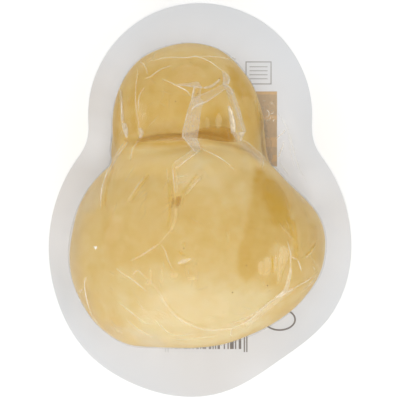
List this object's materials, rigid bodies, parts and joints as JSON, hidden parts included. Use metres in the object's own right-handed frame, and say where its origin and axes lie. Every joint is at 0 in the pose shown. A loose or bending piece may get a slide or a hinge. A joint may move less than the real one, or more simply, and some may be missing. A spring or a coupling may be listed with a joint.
{
  "type": "vacuum-packed smoked scamorza cheese",
  "caption": "Pear-shaped smoked stretched-curd cheese with a round head, drawn tight under clear film on a flat gourd-shaped sheet of milky film.",
  "frame": {"origin": "middle of the backing sheet's outline, on its flat back face", "axes": "+Z out of the back face towards the shown side, +Y along the pack from the cheese's foot to its head, +X to the right as shown"},
  "size_m": [0.1118, 0.1456, 0.056],
  "materials": {
    "milky_film": "milky translucent packing film, satin gloss",
    "cheese_in_film": "golden smoked rind under clear glossy film"
  },
  "bodies": {
    "root": {"backing_film": "milky_film", "cheese_in_film": "cheese_in_film"}
  },
  "joints": []
}
